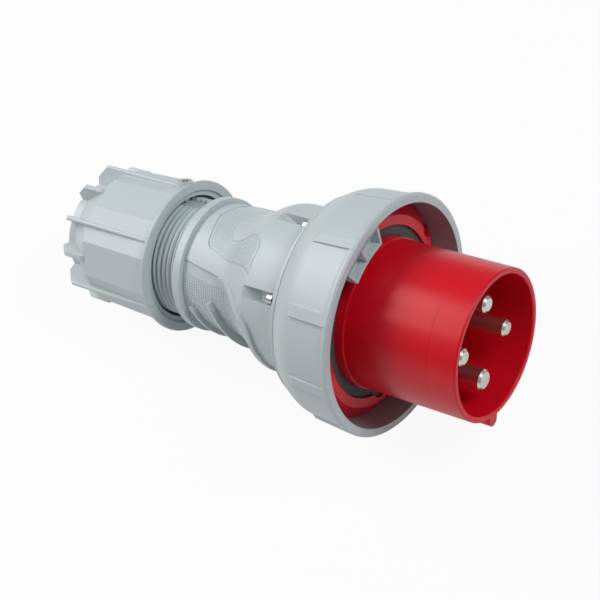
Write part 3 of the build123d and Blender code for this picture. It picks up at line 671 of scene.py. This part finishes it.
# Screws. Zinc-plated steel: grub screws in the terminals, screws through the retainer plate and
# into the housing, and the small locking screw of the gland nut. Heads in view have a cross
# recess, whose sizes are in radii and heights of the head.
zinc_colour = (0.70, 0.70, 0.69)
zinc_rough = 0.30
zinc_ripple = 1200.0
arm_half = 0.13
arm_reach = 0.62
on_arm = 0.01
recess_depth = 0.55
shank_segments = 24
steel = plated("zinc_plate", zinc_colour, zinc_rough, zinc_ripple)
for node in frame["nodes"]:
    if "screw" in node:
        dress(node, steel)


def vertices_of(extruded):
    """The vertices that an extrusion made."""
    return [item for item in extruded["geom"] if isinstance(item, bmesh.types.BMVert)]


def cross_head(shape, stand, radius, height):
    """A screw head with a cross recess, its seat at the origin of this matrix and its top at +Z."""
    made = bmesh.ops.create_grid(shape, x_segments=5, y_segments=5, size=1)["verts"]
    order = sorted({round(vertex.co.x, 3) for vertex in made})
    stops = dict(zip(order, (-1.0, -arm_reach, -arm_half, arm_half, arm_reach, 1.0)))
    for vertex in made:
        spot = Vector((stops[round(vertex.co.x, 3)], stops[round(vertex.co.y, 3)], 0))
        if max(abs(spot.x), abs(spot.y)) == 1.0:
            spot.normalize()
        vertex.co = spot
    faces = list(dict.fromkeys(face for vertex in made for face in vertex.link_faces))
    recess = []
    for face in faces:
        near, far = sorted(abs(value) for value in face.calc_center_median()[:2])
        if near < on_arm and far < arm_reach:
            recess.append(face)
    sunk = vertices_of(bmesh.ops.extrude_face_region(shape, geom=recess))
    bmesh.ops.translate(shape, verts=sunk, vec=(0, 0, -recess_depth))
    bmesh.ops.delete(shape, geom=recess, context="FACES_ONLY")
    kept = [face for face in faces if face.is_valid]
    rim = dict.fromkeys(edge for face in kept for edge in face.edges if edge.is_boundary)
    skirt = vertices_of(bmesh.ops.extrude_edge_only(shape, edges=list(rim)))
    bmesh.ops.translate(shape, verts=skirt, vec=(0, 0, -1.0))
    head = [vertex for vertex in dict.fromkeys((*made, *sunk, *skirt)) if vertex.is_valid]
    to_size = Matrix.Diagonal((radius, radius, height, 1)) @ Matrix.Translation((0, 0, 1))
    bmesh.ops.transform(shape, matrix=stand @ to_size, verts=head)


# Lock screw of the gland nut. It goes through the nut's flange, where its head shows, and its tip
# shows in the nut's mouth.
lock_x = -0.1790
lock_seat = 0.0376
lock_tip = 0.0287
lock_head = (0.0033, 0.0018)
lock_shank = 0.0015

lock = bmesh.new()
cross_head(lock, Matrix.Translation((lock_x, 0, lock_seat)), *lock_head)
bmesh.ops.create_cone(
    lock, cap_ends=True, segments=shank_segments, radius1=lock_shank, radius2=lock_shank,
    depth=lock_seat - lock_tip, matrix=Matrix.Translation((lock_x, 0, (lock_seat + lock_tip) / 2)),
)
lock_piece = finished("gland_lock_screw_body", lock, "gland", steel)
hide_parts("gland_lock_screw")

# Housing screws. Four of them hold the housing on the sleeve insert, each with its head at the
# bottom of a channel and turned to the gland nut.
screw_clocks = (0, 60, 180, 300)
screw_circle = 0.0383
screw_seat = -0.0951
screw_length = 0.0266
screw_head = (0.0028, 0.0027)
screw_shank = 0.0020
recess_turn = 20

housed = bmesh.new()
for screw_clock in screw_clocks:
    foot = clock(clocking + screw_clock, screw_circle, screw_seat)
    backwards = Matrix.Translation(foot) @ Matrix.Rotation(-pi / 2, 4, "Y")
    turned = backwards @ Matrix.Rotation(radians(recess_turn + screw_clock), 4, "Z")
    cross_head(housed, turned, *screw_head)
    shank_middle = Matrix.Translation(foot + Vector((screw_length / 2, 0, 0)))
    bmesh.ops.create_cone(
        housed, cap_ends=True, segments=shank_segments, radius1=screw_shank, radius2=screw_shank,
        depth=screw_length, matrix=shank_middle @ Matrix.Rotation(pi / 2, 4, "Y"),
    )
housed_piece = finished("housing_screws_body", housed, "handle", steel)
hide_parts("housing_screws")
